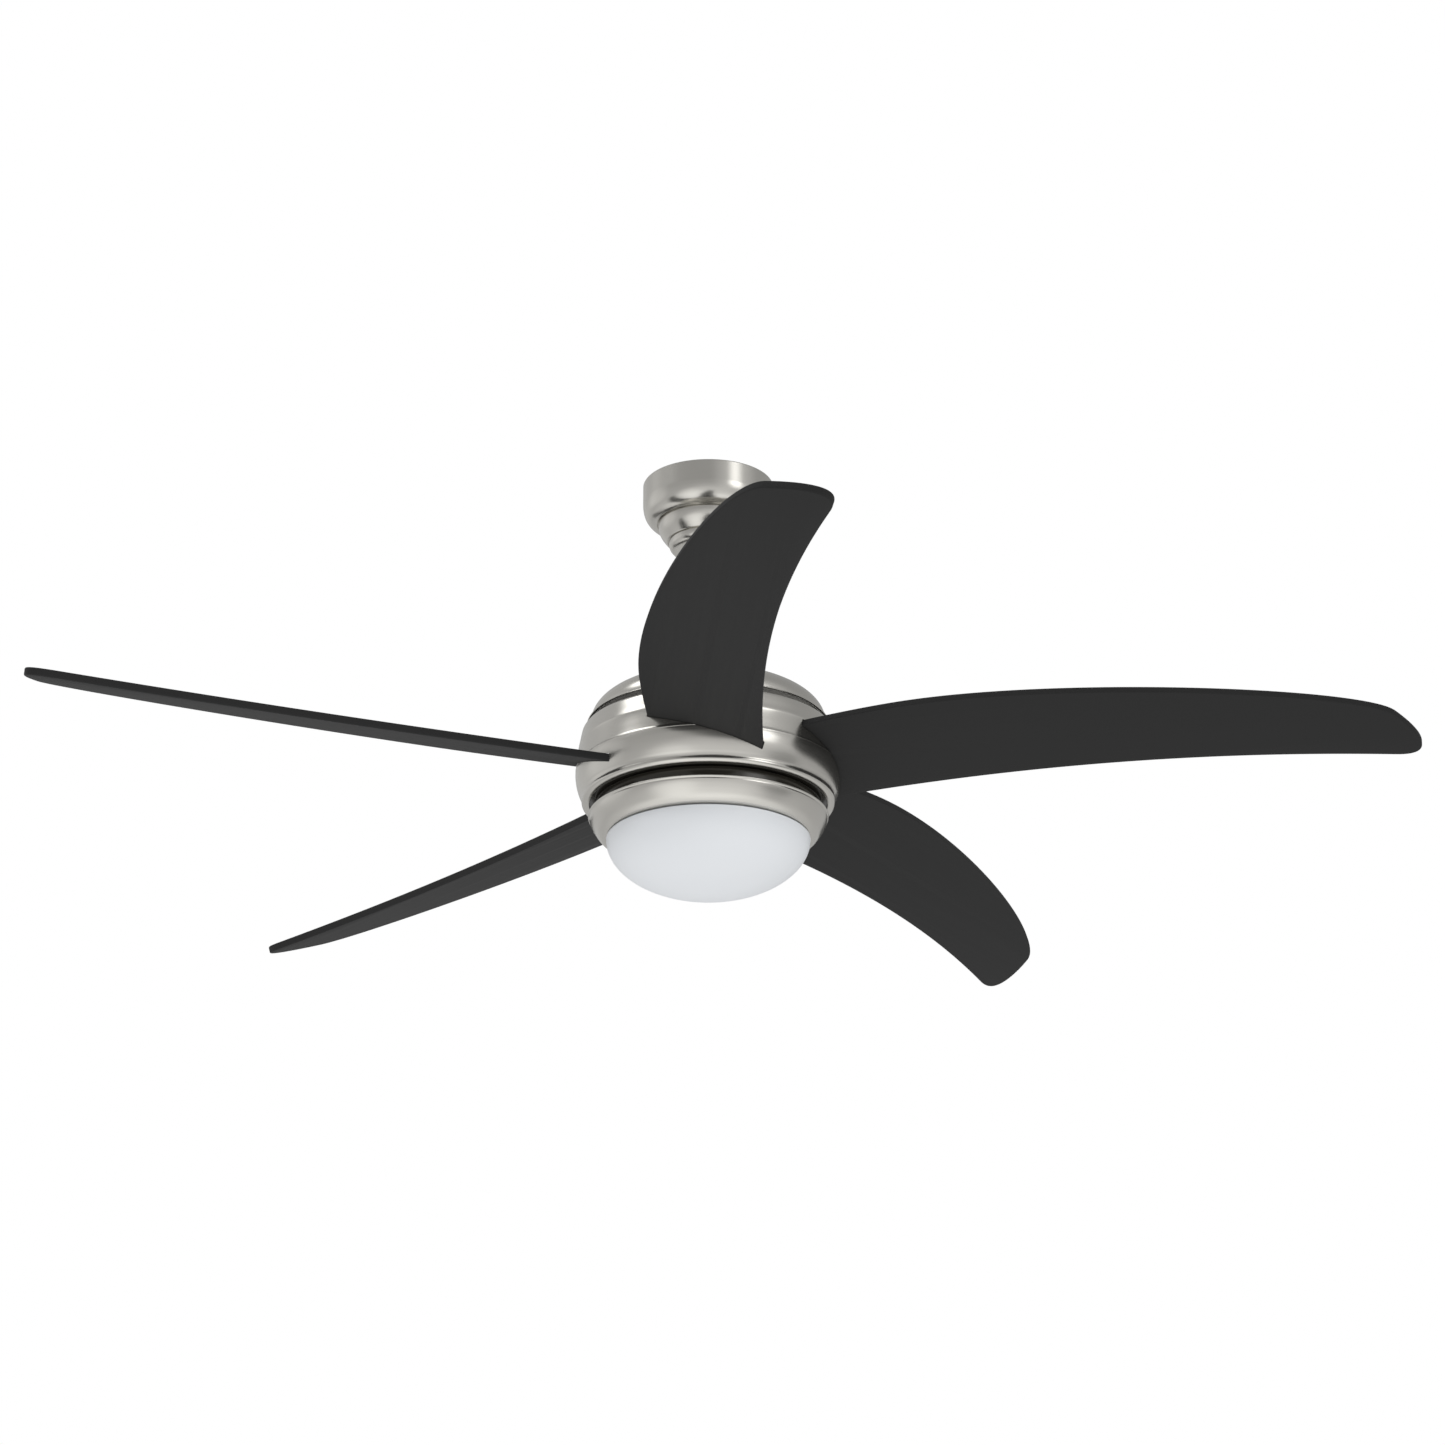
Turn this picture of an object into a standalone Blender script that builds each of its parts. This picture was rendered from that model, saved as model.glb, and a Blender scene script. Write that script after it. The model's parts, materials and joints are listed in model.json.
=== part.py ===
"""Ceiling fan with light: five swept blades, a turned metal housing, an opal bowl and a short downrod.

Metres, +Z up. The origin is the middle of the bracket's flat top, where it meets the ceiling. Heights
below the ceiling are plain z. Heights in the fan head are measured from the blade plane, the level where
the middle planes of the pitched blades cross the fan's axis.
"""

import math

import bmesh
import bpy
from mathutils import Vector

# Driving dimensions
CEILING_TO_BLADES = 0.301
BLADE_COUNT = 5
BLADE_PITCH = math.radians(17.5)
BLADE_THICKNESS = 0.0069
FIRST_BLADE_ANGLE = math.radians(-85.6)
BALL_HEIGHT = -0.033
BALL_RADIUS = 0.022
ROD_RADIUS = 0.0105
SHAFT_RADIUS = 0.0085
CANOPY_RADIUS = 0.063
HOUSING_RADIUS = 0.1249
CASING_RADIUS = 0.082
NECK_RADIUS = 0.1064
GLASS_RADIUS = 0.0955
GLASS_DEPTH = 0.052
GAP = 0.0003

# Derived places
BLADE_PLANE = Vector((0, 0, -CEILING_TO_BLADES))
BALL_CENTRE = Vector((0, 0, BALL_HEIGHT))
BLADE_ANGLES = [FIRST_BLADE_ANGLE + 2 * math.pi * i / BLADE_COUNT for i in range(BLADE_COUNT)]

# Facets around the large turned shells, the ball joint, the middling pieces and the small ones
WIDE = 32
BALL = 28
MIDDLE = 24
SMALL = 16
FINE = 10

# Screw places and sizes that several pieces share
CLAMP_SCREWS = [(0.0975, -0.022), (0.0975, 0.019)]
CLAMP_SHANK = 0.002
CANOPY_SCREW_X = 0.042
CAP_SCREW_X = 0.0205


# ---------------------------------------------------------------- helpers

def clear_scene():
    for obj in list(bpy.data.objects):
        bpy.data.objects.remove(obj, do_unlink=True)


def new_collection(name):
    collection = bpy.data.collections.new(name)
    bpy.context.scene.collection.children.link(collection)
    return collection


def new_material(name, color, roughness, metallic=0.0):
    material = bpy.data.materials.new(name)
    material.use_nodes = True
    shader = material.node_tree.nodes["Principled BSDF"]
    shader.inputs["Base Color"].default_value = (*color, 1)
    shader.inputs["Roughness"].default_value = roughness
    shader.inputs["Metallic"].default_value = metallic
    return material


clear_scene()
FAN = new_collection("ceiling_fan")
CUTTERS = new_collection("cutters")
NICKEL = new_material("satin_nickel", (0.60, 0.58, 0.54), 0.3, 1.0)
BLACK = new_material("blade_black", (0.03, 0.03, 0.03), 0.55)
OPAL = new_material("opal_glass", (0.86, 0.88, 0.90), 0.35)
DARK = new_material("dark_paint", (0.03, 0.028, 0.025), 0.4, 0.3)
STEEL = new_material("zinc_steel", (0.55, 0.55, 0.56), 0.35, 1.0)
CAST = new_material("cast_aluminium", (0.50, 0.50, 0.51), 0.5, 1.0)
IRON = new_material("laminated_iron", (0.22, 0.22, 0.23), 0.5, 1.0)
COPPER = new_material("winding_wire", (0.55, 0.24, 0.10), 0.4, 1.0)
RUBBER = new_material("seat_rubber", (0.03, 0.03, 0.03), 0.8)
PLASTIC = new_material("white_plastic", (0.80, 0.80, 0.78), 0.45)
CERAMIC = new_material("holder_ceramic", (0.88, 0.87, 0.83), 0.5)
REFLECTOR = new_material("reflector_white", (0.85, 0.85, 0.85), 0.4, 0.2)
LAMP = new_material("lamp_glass", (0.92, 0.92, 0.90), 0.15)


def keep(obj, name, material, location=(0, 0, 0), smooth_angle=35):
    """Give a finished piece its name, place and material, and shade its round faces smooth."""
    obj.name = name
    obj.data.name = name
    obj.location = location
    obj.data.materials.clear()
    obj.data.materials.append(material)
    for collection in list(obj.users_collection):
        collection.objects.unlink(obj)
    FAN.objects.link(obj)
    obj.data.shade_smooth()
    obj.data.set_sharp_from_angle(angle=math.radians(smooth_angle))
    return obj


def mesh_object(name, mesh):
    obj = bpy.data.objects.new(name, mesh)
    CUTTERS.objects.link(obj)
    return obj


def turned(profile, steps, closed=True):
    """Turn a profile of (radius, height) about Z. It runs down the outer side, then up the inner side.

    A profile that starts and ends on the axis is open, and makes a solid without a bore.
    """
    mesh = bpy.data.meshes.new("turned")
    points = [(radius, 0, height) for radius, height in profile]
    edges = [(i, i + 1) for i in range(len(points) - 1)]
    if closed:
        edges.append((len(points) - 1, 0))
    mesh.from_pydata(points, edges, [])
    obj = mesh_object("turned", mesh)
    screw = obj.modifiers.new("turn", "SCREW")
    screw.angle = 2 * math.pi
    screw.steps = steps
    screw.render_steps = steps
    screw.use_merge_vertices = True
    screw.merge_threshold = 0.00001
    screw.use_normal_calculate = False
    return obj


def shell(profile, thickness, steps):
    """A turned sheet whose outer side is the profile, thickened inwards."""
    obj = turned(profile, steps, closed=False)
    solidify = obj.modifiers.new("sheet", "SOLIDIFY")
    solidify.thickness = thickness
    solidify.offset = -1
    solidify.use_even_offset = True
    return obj


def ring(inner, outer, top, bottom, steps):
    return turned([(outer, top), (outer, bottom), (inner, bottom), (inner, top)], steps)


def arc(centre, radii, start, end, count):
    """Points on an ellipse's arc about (radius, height), with angles in degrees from the horizontal."""
    angles = [math.radians(start + (end - start) * i / count) for i in range(count + 1)]
    return [(centre[0] + radii[0] * math.cos(a), centre[1] + radii[1] * math.sin(a)) for a in angles]


def box(low, high):
    mesh = bpy.data.meshes.new("box")
    bm = bmesh.new()
    bmesh.ops.create_cube(bm, size=1)
    size = Vector(high) - Vector(low)
    middle = (Vector(high) + Vector(low)) / 2
    for vert in bm.verts:
        vert.co = Vector(v * s for v, s in zip(vert.co, size)) + middle
    bm.to_mesh(mesh)
    bm.free()
    return mesh_object("box", mesh)


def cylinder(radius, depth, steps, centre=(0, 0, 0), axis="Z"):
    """A solid cylinder about a point, along X, Y or Z."""
    mesh = bpy.data.meshes.new("cylinder")
    bm = bmesh.new()
    bmesh.ops.create_cone(bm, cap_ends=True, segments=steps, radius1=radius, radius2=radius, depth=depth)
    direction = {"X": Vector((1, 0, 0)), "Y": Vector((0, 1, 0)), "Z": Vector((0, 0, 1))}[axis]
    turn = Vector((0, 0, 1)).rotation_difference(direction).to_matrix()
    for vert in bm.verts:
        vert.co = turn @ vert.co + Vector(centre)
    bm.to_mesh(mesh)
    bm.free()
    return mesh_object("cylinder", mesh)


def tool(obj, location=(0, 0, 0), rotation=(0, 0, 0)):
    """Hide a cutter, or a shape that is joined to a piece, and put it in place."""
    obj.location = location
    obj.rotation_euler = rotation
    obj.hide_render = True
    obj.display_type = "WIRE"
    return obj


def combine(obj, other, operation):
    boolean = obj.modifiers.new(operation.lower(), "BOOLEAN")
    boolean.operation = operation
    boolean.solver = "EXACT"
    boolean.object = other
    return obj


def cut(obj, other):
    return combine(obj, other, "DIFFERENCE")


def join(obj, other):
    return combine(obj, other, "UNION")


# ---------------------------------------------------------------- ceiling bracket and canopy

PLATE_HALF_LENGTH = 0.048
PLATE_HALF_WIDTH = 0.020
SHEET = 0.002
LEG_X = 0.029
LEG_HALF_WIDTH = 0.013
SEAT_RADIUS = 0.0246
SEAT_TOP = BALL_HEIGHT - 0.0050
CEILING_SLOT_X = 0.0355
POST_RADIUS = 0.0042
SCREW_HOLE_RADIUS = 0.0025
ROD_WAY_HALF_WIDTH = 0.0115
CABLE_HOLE_X = -0.015
CABLE_HOLE_RADIUS = 0.007
CANOPY_FLOOR = -0.0412
CANOPY_SHEET = 0.0010
POST_HOLE_HEIGHT = CANOPY_FLOOR + 0.0045


def ball_zone(inner, outer, low_angle, high_angle, count, steps):
    """A ring cut from a hollow ball. Angles are degrees from straight down."""
    outside = [(outer * math.sin(a), -outer * math.cos(a)) for a in angles_down(high_angle, low_angle, count)]
    inside = [(inner * math.sin(a), -inner * math.cos(a)) for a in angles_down(low_angle, high_angle, count)]
    return turned(outside + inside, steps)


def angles_down(start, end, count):
    return [math.radians(start + (end - start) * i / count) for i in range(count + 1)]


def hanger_bracket():
    """Flat ceiling plate, two legs, and the open seat that the ball hangs in."""
    bracket = box((-PLATE_HALF_LENGTH, -PLATE_HALF_WIDTH, -SHEET), (PLATE_HALF_LENGTH, PLATE_HALF_WIDTH, 0))
    for side in (-1, 1):
        leg_x = sorted((side * LEG_X, side * (LEG_X + SHEET)))
        leg = box((leg_x[0], -LEG_HALF_WIDTH, SEAT_TOP - SHEET), (leg_x[1], LEG_HALF_WIDTH, -SHEET / 2))
        join(bracket, tool(leg))
        post_bottom = CANOPY_FLOOR + CANOPY_SHEET + GAP
        post_length = -SHEET / 2 - post_bottom
        post_centre = (side * CANOPY_SCREW_X, 0, post_bottom + post_length / 2)
        post = cylinder(POST_RADIUS, post_length, FINE, post_centre)
        join(bracket, tool(post))
    flange = ring(0.0250, LEG_X + SHEET + 0.0005, SEAT_TOP, SEAT_TOP - SHEET, BALL)
    join(bracket, tool(flange))
    seat = ball_zone(SEAT_RADIUS, SEAT_RADIUS + SHEET, 46, 80, 4, BALL)
    join(bracket, tool(seat, BALL_CENTRE))
    for side in (-1, 1):
        screw_hole = cylinder(SCREW_HOLE_RADIUS, 0.012, FINE, (side * CANOPY_SCREW_X, 0, POST_HOLE_HEIGHT))
        cut(bracket, tool(screw_hole))
        slot_x = side * CEILING_SLOT_X
        ceiling_slot = box((slot_x - 0.003, -0.009, -0.01), (slot_x + 0.003, 0.009, 0.01))
        cut(bracket, tool(ceiling_slot))
    cable_hole = cylinder(CABLE_HOLE_RADIUS, 0.02, SMALL, (CABLE_HOLE_X, 0, 0))
    cut(bracket, tool(cable_hole))
    way_low = (-ROD_WAY_HALF_WIDTH, -0.04, SEAT_TOP - 0.02)
    way_high = (ROD_WAY_HALF_WIDTH, -0.004, SEAT_TOP + 0.001)
    cut(bracket, tool(box(way_low, way_high)))
    keep(bracket, "hanger_bracket", STEEL)


def canopy():
    wall = [(CANOPY_RADIUS - 0.0006, -0.0004), (CANOPY_RADIUS, -0.0014), (CANOPY_RADIUS, -0.0230)]
    roll = [(0.0622, -0.0278), (0.0602, -0.0336), (0.0566, -0.0380), (0.0522, -0.0405)]
    floor = [(0.0495, CANOPY_FLOOR), (0.0345, CANOPY_FLOOR)]
    body = shell(wall + roll + floor, CANOPY_SHEET, WIDE)
    for side in (-1, 1):
        cut(body, tool(cylinder(SCREW_HOLE_RADIUS, 0.01, FINE, (side * CANOPY_SCREW_X, 0, CANOPY_FLOOR))))
    keep(body, "canopy", NICKEL)


def canopy_cover():
    """The two lower steps, which hide the canopy's screws and leave the rod room to tilt."""
    top = CANOPY_FLOOR - GAP
    step = [(0.0480, top), (0.0479, -0.0450)]
    roll = [(0.0468, -0.0498), (0.0440, -0.0547), (0.0400, -0.0600)]
    lower_step = [(0.0383, -0.0612), (0.0375, -0.0650), (0.0342, -0.0688), (0.0262, -0.0700)]
    body = shell(step + roll + lower_step, CANOPY_SHEET, MIDDLE)
    keep(body, "canopy_cover", NICKEL)


def screw(name, x, head_top, head_radius, shank_radius, shank_length, downwards, location=(0, 0, 0)):
    """A pan-head screw along Z. Its shank points up unless it points downwards."""
    flip = -1 if downwards else 1
    profile = [(0, shank_length), (shank_radius, shank_length), (shank_radius, 0), (head_radius, 0),
               (head_radius, -0.0012), (head_radius * 0.6, -0.0022), (0, -0.0024)]
    if downwards:
        profile = [(radius, -height) for radius, height in reversed(profile)]
    body = turned(profile, FINE, closed=False)
    keep(body, name, STEEL, Vector(location) + Vector((x, 0, head_top - flip * GAP)))


def canopy_screws():
    for number, side in enumerate((-1, 1), start=1):
        screw(f"canopy_screw_{number}", side * CANOPY_SCREW_X, CANOPY_FLOOR, 0.0042, 0.0020, 0.0085, False)


def canopy_electrics():
    terminal = box((-0.018, -0.043, -0.0190), (0.018, -0.0300, -SHEET - GAP))
    for x in (-0.012, 0, 0.012):
        cut(terminal, tool(cylinder(0.0022, 0.03, FINE, (x, -0.0365, -0.0180), "Y")))
    keep(terminal, "terminal_block", PLASTIC)
    receiver = box((-0.0280, 0.0290, -0.0340), (0.0280, 0.0450, -0.0030))
    bevel = receiver.modifiers.new("edges", "BEVEL")
    bevel.width = 0.002
    bevel.segments = 2
    keep(receiver, "receiver_box", PLASTIC)


# ---------------------------------------------------------------- ball, rod and coupling

ROD_TOP = 0.0165
ROD_BOTTOM = 0.1130
PIN_RADIUS = 0.0030
COUPLING_PIN_HEIGHT = 0.1190
YOKE_TOP = 0.1280
CAP_TOP = 0.0903
CAP_SHEET = 0.0012


def seat_liner():
    liner = ball_zone(BALL_RADIUS + GAP, SEAT_RADIUS - GAP, 50, 92, 5, BALL)
    keep(liner, "seat_liner", RUBBER, BALL_CENTRE)


def hanger_ball():
    """A ball cut flat on top, bored for the rod and cross-drilled for its pin."""
    top = 0.0150
    bottom = -0.0178
    side = arc((0, 0), (BALL_RADIUS, BALL_RADIUS), math.degrees(math.asin(top / BALL_RADIUS)),
               math.degrees(math.asin(bottom / BALL_RADIUS)), 9)
    bore = ROD_RADIUS + GAP
    ball = turned([(bore, top)] + side + [(bore, bottom)], BALL)
    cut(ball, tool(cylinder(PIN_RADIUS + GAP, 0.05, FINE, (0, 0, 0), "Y"), BALL_CENTRE))
    keep(ball, "hanger_ball", PLASTIC, BALL_CENTRE)
    keep(cylinder(PIN_RADIUS, 0.0400, FINE, (0, 0, 0), "Y"), "ball_pin", STEEL, BALL_CENTRE)


def downrod():
    top = BALL_HEIGHT + ROD_TOP
    bottom = ROD_BOTTOM - CEILING_TO_BLADES
    rod = ring(ROD_RADIUS - 0.0018, ROD_RADIUS, top, bottom, MIDDLE)
    cut(rod, tool(cylinder(PIN_RADIUS + GAP, 0.05, FINE, (0, 0, 0), "Y"), BALL_CENTRE))
    coupling_hole = cylinder(PIN_RADIUS + GAP, 0.05, FINE, (0, 0, COUPLING_PIN_HEIGHT), "X")
    cut(rod, tool(coupling_hole, BLADE_PLANE))
    keep(rod, "downrod", NICKEL)


def yoke():
    """The coupling on the motor's shaft: a socket for the rod above, a flange for the top cap below."""
    flange_top = CAP_TOP - CAP_SHEET - GAP
    outer = [(0.0155, YOKE_TOP), (0.0155, flange_top), (0.0270, flange_top), (0.0270, flange_top - 0.003)]
    inner = [(SHAFT_RADIUS + GAP, flange_top - 0.003), (SHAFT_RADIUS + GAP, ROD_BOTTOM - 0.001),
             (ROD_RADIUS + GAP, ROD_BOTTOM - 0.001), (ROD_RADIUS + GAP, YOKE_TOP)]
    body = turned(outer + inner, MIDDLE)
    cut(body, tool(cylinder(PIN_RADIUS + GAP, 0.05, FINE, (0, 0, COUPLING_PIN_HEIGHT), "X"), BLADE_PLANE))
    for side in (-1, 1):
        cut(body, tool(cylinder(0.0020, 0.02, FINE, (side * CAP_SCREW_X, 0, flange_top)), BLADE_PLANE))
    keep(body, "yoke", STEEL, BLADE_PLANE)


def coupling_pin():
    """A headed pin along X, held by a clip at its far end."""
    head, start, end = -0.0195, -0.0175, 0.0200
    profile = [(0, end), (PIN_RADIUS, end), (PIN_RADIUS, start), (0.0045, start), (0.0045, head), (0, head)]
    pin = turned(profile, FINE, closed=False)
    keep(pin, "coupling_pin", STEEL, BLADE_PLANE + Vector((0, 0, COUPLING_PIN_HEIGHT)))
    pin.rotation_euler = (0, math.pi / 2, 0)
    clip = ring(PIN_RADIUS + GAP, 0.0055, 0.0184, 0.0174, FINE)
    keep(clip, "coupling_clip", STEEL, BLADE_PLANE + Vector((0, 0, COUPLING_PIN_HEIGHT)))
    clip.rotation_euler = (0, math.pi / 2, 0)


def coupling_cover():
    """The cup over the coupling. It slides up the rod, and rests on the top cap."""
    shoulder = arc((0.0190, 0.1225), (0.0112, 0.0125), 80, 10, 3)
    profile = [(0.0124, 0.1352)] + shoulder + [(0.0330, CAP_TOP + GAP)]
    keep(shell(profile, 0.0010, MIDDLE), "coupling_cover", NICKEL, BLADE_PLANE)


# ---------------------------------------------------------------- top cap and motor

CAP_RIM = (0.1145, 0.0497)
CAP_DOME_RADIUS = 0.1112
CAP_DOME_BASE = 0.0512
CAP_DOME_POWER = 2.3
BEARING_RADIUS = 0.0179
BELL_SPLIT = 0.0122
BELL_TOP = 0.0452
BELL_BOTTOM = -0.0256
CORE_TOP = 0.0160
CORE_RADIUS = 0.0600


def top_cap():
    """The still dome above the turning housing. Its outline is a superellipse that is nearly flat on top."""
    rise = CAP_TOP - CAP_DOME_BASE
    dome = []
    for degrees in (64, 46, 32, 20, 9, 0):
        angle = math.radians(degrees)
        radius = CAP_DOME_RADIUS * math.cos(angle) ** (2 / CAP_DOME_POWER)
        dome.append((radius, CAP_DOME_BASE + rise * math.sin(angle) ** (2 / CAP_DOME_POWER)))
    profile = [(0.0165, CAP_TOP), (0.0340, CAP_TOP)] + dome + [CAP_RIM]
    body = shell(profile, CAP_SHEET, WIDE)
    for side in (-1, 1):
        cut(body, tool(cylinder(0.0020, 0.02, FINE, (side * CAP_SCREW_X, 0, CAP_TOP)), BLADE_PLANE))
    keep(body, "top_cap", NICKEL, BLADE_PLANE)
    for number, side in enumerate((-1, 1), start=1):
        name = f"top_cap_screw_{number}"
        screw(name, side * CAP_SCREW_X, CAP_TOP, 0.0036, 0.0016, 0.0045, True, BLADE_PLANE)


def motor_shaft():
    shaft = ring(0.0058, SHAFT_RADIUS, ROD_BOTTOM - 0.0035, -0.0420, SMALL)
    keep(shaft, "motor_shaft", STEEL, BLADE_PLANE)


def stator_core():
    """Laminated core on the shaft, with a slot for each coil."""
    slots = 12
    core = ring(SHAFT_RADIUS + GAP, CORE_RADIUS, CORE_TOP, 0, 2 * slots)
    for i in range(slots):
        slot = box((0.0460, -0.0028, -0.01), (0.0700, 0.0028, CORE_TOP + 0.01))
        cut(core, tool(slot, BLADE_PLANE, (0, 0, 2 * math.pi * (i + 0.5) / slots)))
    keep(core, "stator_core", IRON, BLADE_PLANE)
    for name, low, high in (("winding_upper", CORE_TOP + GAP, 0.0290), ("winding_lower", -0.0130, -GAP)):
        middle = (low + high) / 2
        coil = turned(arc((0.0400, middle), (0.0120, (high - low) / 2), 90, -225, 7), SMALL)
        keep(coil, name, COPPER, BLADE_PLANE)


def rotor_bells():
    upper = [(BEARING_RADIUS + GAP, BELL_TOP), (0.0560, BELL_TOP - 0.0010), (0.0745, 0.0385),
             (0.0808, 0.0310), (CASING_RADIUS, BELL_SPLIT + GAP)]
    lower = [(CASING_RADIUS, BELL_SPLIT), (CASING_RADIUS, -0.0150), (0.0785, -0.0230),
             (0.0720, BELL_BOTTOM), (BEARING_RADIUS + GAP, BELL_BOTTOM)]
    keep(shell(upper, 0.0030, MIDDLE), "bell_upper", CAST, BLADE_PLANE)
    keep(shell(lower, 0.0030, MIDDLE), "bell_lower", CAST, BLADE_PLANE)
    keep(ring(CORE_RADIUS + 0.0015, 0.0780, CORE_TOP, 0, MIDDLE), "rotor_ring", IRON, BLADE_PLANE)


def bearings():
    for name, top in (("upper", BELL_TOP), ("lower", BELL_BOTTOM + 0.008)):
        inner = ring(SHAFT_RADIUS + GAP, 0.0112, top, top - 0.008, SMALL)
        outer = ring(0.0148, BEARING_RADIUS, top, top - 0.008, SMALL)
        keep(inner, f"bearing_inner_{name}", STEEL, BLADE_PLANE)
        keep(outer, f"bearing_outer_{name}", STEEL, BLADE_PLANE)


# ---------------------------------------------------------------- turning housing and blades

HUB_TOP = BELL_BOTTOM - GAP
HUB_BOTTOM = HUB_TOP - 0.0025
SPLIT_HEIGHT = 0.0038
HOUSING_SHEET = 0.0015
BLADE_CLEARANCE = 0.0004
HOLDER_INNER = 0.0880
HOLDER_OUTER = 0.1035
HOLDER_SIDES = (-0.034, 0.031)

# Blade outline in its own plane: along the blade, then across it, with the leading edge at minus.
# Each knot is its place, its handle on the side of the knot before, and its handle on the other side.
BLADE_OUTLINE = [
    ((0.0900, -0.0423), (0.0900, -0.0423), (0.0920, -0.0500)),
    ((0.0960, -0.0652), (0.0940, -0.0576), (0.1310, -0.0720)),
    ((0.2026, -0.0817), (0.1700, -0.0788), (0.3549, -0.0952)),
    ((0.6398, -0.0067), (0.6126, -0.0421), (0.6422, -0.0035)),
    ((0.6351, 0.0515), (0.6879, 0.0602), (0.4829, 0.0265)),
    ((0.1134, 0.0436), (0.3159, 0.0181), (0.1056, 0.0436)),
    ((0.0900, 0.0436), (0.0978, 0.0436), (0.0900, 0.0436)),
]


def blade_rotation(angle):
    return (-BLADE_PITCH, 0, angle)


def blade_mesh(half_thickness, margin, with_holes):
    """The blade's outline as a filled 2D curve, extruded and made a mesh."""
    curve = bpy.data.curves.new("outline", "CURVE")
    curve.dimensions = "2D"
    curve.fill_mode = "BOTH"
    curve.extrude = half_thickness
    curve.offset = margin
    curve.resolution_u = 9
    add_knots(curve, BLADE_OUTLINE)
    if with_holes:
        for centre in CLAMP_SCREWS:
            add_circle(curve, centre, CLAMP_SHANK + GAP)
    source = mesh_object("outline", curve)
    bpy.context.view_layer.update()
    graph = bpy.context.evaluated_depsgraph_get()
    mesh = bpy.data.meshes.new_from_object(source.evaluated_get(graph))
    bm = bmesh.new()
    bm.from_mesh(mesh)
    bmesh.ops.remove_doubles(bm, verts=bm.verts, dist=0.00001)
    bm.to_mesh(mesh)
    bm.free()
    bpy.data.objects.remove(source, do_unlink=True)
    return mesh


def add_knots(curve, knots):
    spline = curve.splines.new("BEZIER")
    spline.bezier_points.add(len(knots) - 1)
    spline.use_cyclic_u = True
    for point, (place, before, after) in zip(spline.bezier_points, knots):
        point.handle_left_type = "FREE"
        point.handle_right_type = "FREE"
        point.co = (*place, 0)
        point.handle_left = (*before, 0)
        point.handle_right = (*after, 0)


def add_circle(curve, centre, radius):
    spline = curve.splines.new("POLY")
    spline.points.add(FINE - 1)
    spline.use_cyclic_u = True
    for i, point in enumerate(spline.points):
        angle = 2 * math.pi * i / FINE
        point.co = (centre[0] + radius * math.cos(angle), centre[1] + radius * math.sin(angle), 0, 1)


def housing_shells():
    """Two nickel shells that meet at the ridge, notched together where the five blades pass through."""
    upper = [(0.1105, 0.0427), (0.1182, 0.0424), (0.1205, 0.0335), (0.1221, 0.0258), (0.1219, 0.0225),
             (0.1228, 0.0120), (0.1244, SPLIT_HEIGHT)]
    bulge = [(0.1247, SPLIT_HEIGHT - GAP), (HOUSING_RADIUS, 0), (0.1240, -0.0100), (0.1207, -0.0215),
             (0.1184, -0.0262), (0.1166, -0.0295), (0.1141, -0.0305), (0.1118, -0.0305)]
    upper_shell = shell(upper, HOUSING_SHEET, WIDE)
    lower_shell = shell(bulge, HOUSING_SHEET, WIDE)
    slot = blade_mesh(BLADE_THICKNESS / 2 + BLADE_CLEARANCE, BLADE_CLEARANCE, False)
    for angle in BLADE_ANGLES:
        for body in (upper_shell, lower_shell):
            cut(body, tool(mesh_object("blade_slot", slot), BLADE_PLANE, blade_rotation(angle)))
    keep(upper_shell, "housing_upper", NICKEL, BLADE_PLANE)
    keep(lower_shell, "housing_lower", NICKEL, BLADE_PLANE)


def hub_plate():
    keep(ring(0.0200, 0.1138, HUB_TOP, HUB_BOTTOM, WIDE), "hub_plate", DARK, BLADE_PLANE)


def blade_holder_mesh():
    """A wedge that stands on the hub plate, with its top pitched to carry the blade's root."""
    low = HUB_TOP + GAP
    rough_top = low + 0.01
    wedge = box((HOLDER_INNER, HOLDER_SIDES[0], low), (HOLDER_OUTER, HOLDER_SIDES[1], rough_top))
    drop = (BLADE_THICKNESS / 2 + GAP) / math.cos(BLADE_PITCH)
    for vert in wedge.data.vertices:
        if vert.co.z > (low + rough_top) / 2:
            vert.co.z = -vert.co.y * math.tan(BLADE_PITCH) - drop
    return wedge


def blade_clamp_mesh():
    """A strip over the blade's root with its two screws, in the blade's own plane."""
    low = BLADE_THICKNESS / 2 + GAP
    strip = box((0.0920, -0.030, low), (0.1030, 0.027, low + 0.0016))
    for x, y in CLAMP_SCREWS:
        join(strip, tool(cylinder(0.0042, 0.0024, FINE, (x, y, low + 0.0024))))
        join(strip, tool(cylinder(CLAMP_SHANK, 0.0150, FINE, (x, y, low - 0.0070))))
    return strip


def blades():
    """Five blades, each with its holder below and its clamp above."""
    blade = blade_mesh(BLADE_THICKNESS / 2, 0, True)
    clamp = blade_clamp_mesh()
    bpy.context.view_layer.update()
    graph = bpy.context.evaluated_depsgraph_get()
    clamp_mesh = bpy.data.meshes.new_from_object(clamp.evaluated_get(graph))
    bpy.data.objects.remove(clamp, do_unlink=True)
    for number, angle in enumerate(BLADE_ANGLES, start=1):
        piece = keep(mesh_object("blade", blade.copy()), f"blade_{number}", BLACK, BLADE_PLANE)
        piece.rotation_euler = blade_rotation(angle)
        holder = blade_holder_mesh()
        for x, y in CLAMP_SCREWS:
            hole = cylinder(CLAMP_SHANK + GAP, 0.0200, FINE, (x, y, -0.0040))
            cut(holder, tool(hole, BLADE_PLANE, blade_rotation(angle)))
        keep(holder, f"blade_holder_{number}", CAST, BLADE_PLANE)
        holder.rotation_euler = (0, 0, angle)
        strip = keep(mesh_object("clamp", clamp_mesh.copy()), f"blade_clamp_{number}", STEEL, BLADE_PLANE)
        strip.rotation_euler = blade_rotation(angle)


# ---------------------------------------------------------------- switch housing and light kit

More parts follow.
